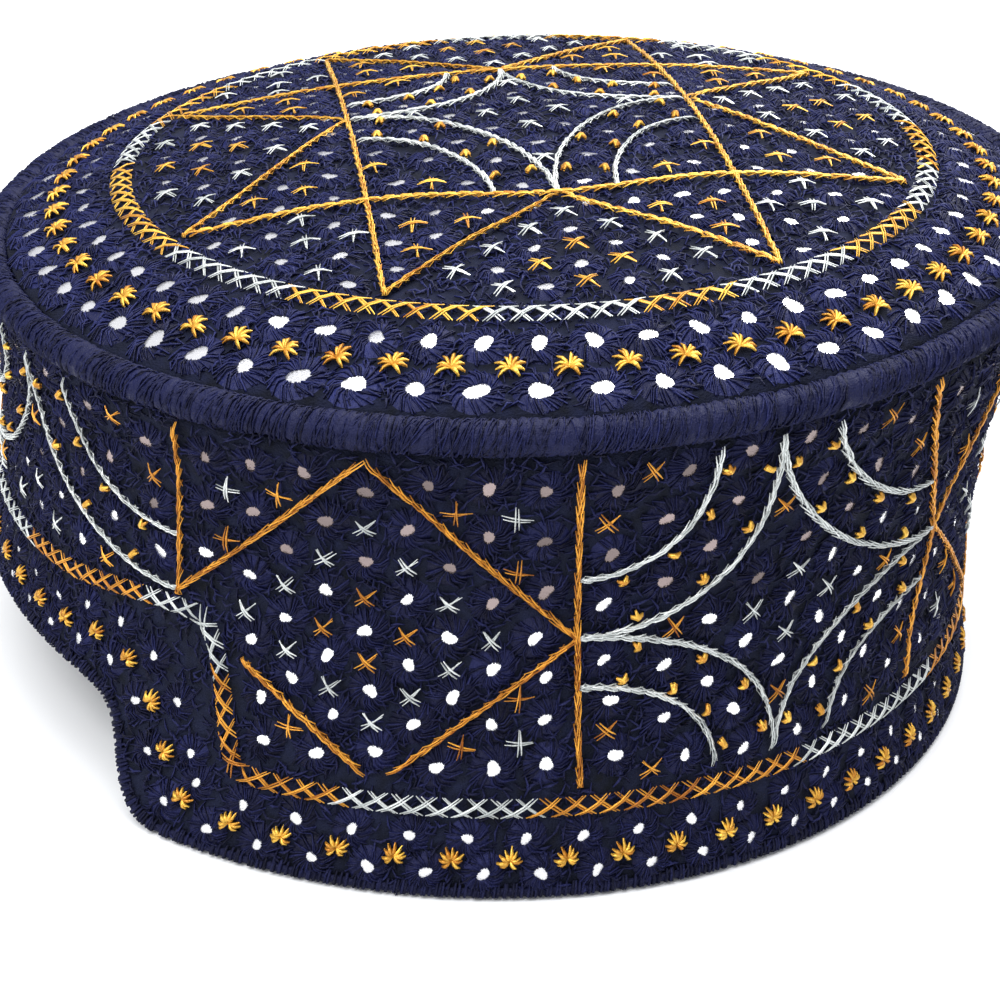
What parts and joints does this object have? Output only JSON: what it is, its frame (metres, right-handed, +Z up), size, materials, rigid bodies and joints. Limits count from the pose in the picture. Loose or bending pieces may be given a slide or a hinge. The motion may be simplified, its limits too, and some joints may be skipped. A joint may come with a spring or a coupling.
{
  "type": "mirror-work cap",
  "caption": "Round pillbox cap of quilted navy cloth with a forehead notch, a padded seam roll, herringbone braids and rows of small mirrors in stitched eyelets",
  "frame": {"origin": "middle of the cap on the plane that its hem rests on", "axes": "+Z up, the forehead notch faces -Y, +X to the right as seen from the front at azimuth 0"},
  "size_m": [0.189, 0.1856, 0.0929],
  "materials": {
    "crown_cloth": "dense matte stitching",
    "welt_thread": "wound thread",
    "side_cloth": "dense matte stitching",
    "hem_thread": "overcast thread",
    "gold_braid": "metallic thread",
    "mirror_glass": "bright"
  },
  "bodies": {
    "root": {"crown": "crown_cloth", "seam_welt": "welt_thread", "side_band": "side_cloth", "hem_edging": "hem_thread", "crown_braid": "gold_braid", "wall_braid": "gold_braid", "crown_outer_mirrors": "mirror_glass", "crown_inner_mirrors": "mirror_glass", "border_upper_mirrors": "mirror_glass", "border_lower_mirrors": "mirror_glass"}
  },
  "joints": []
}
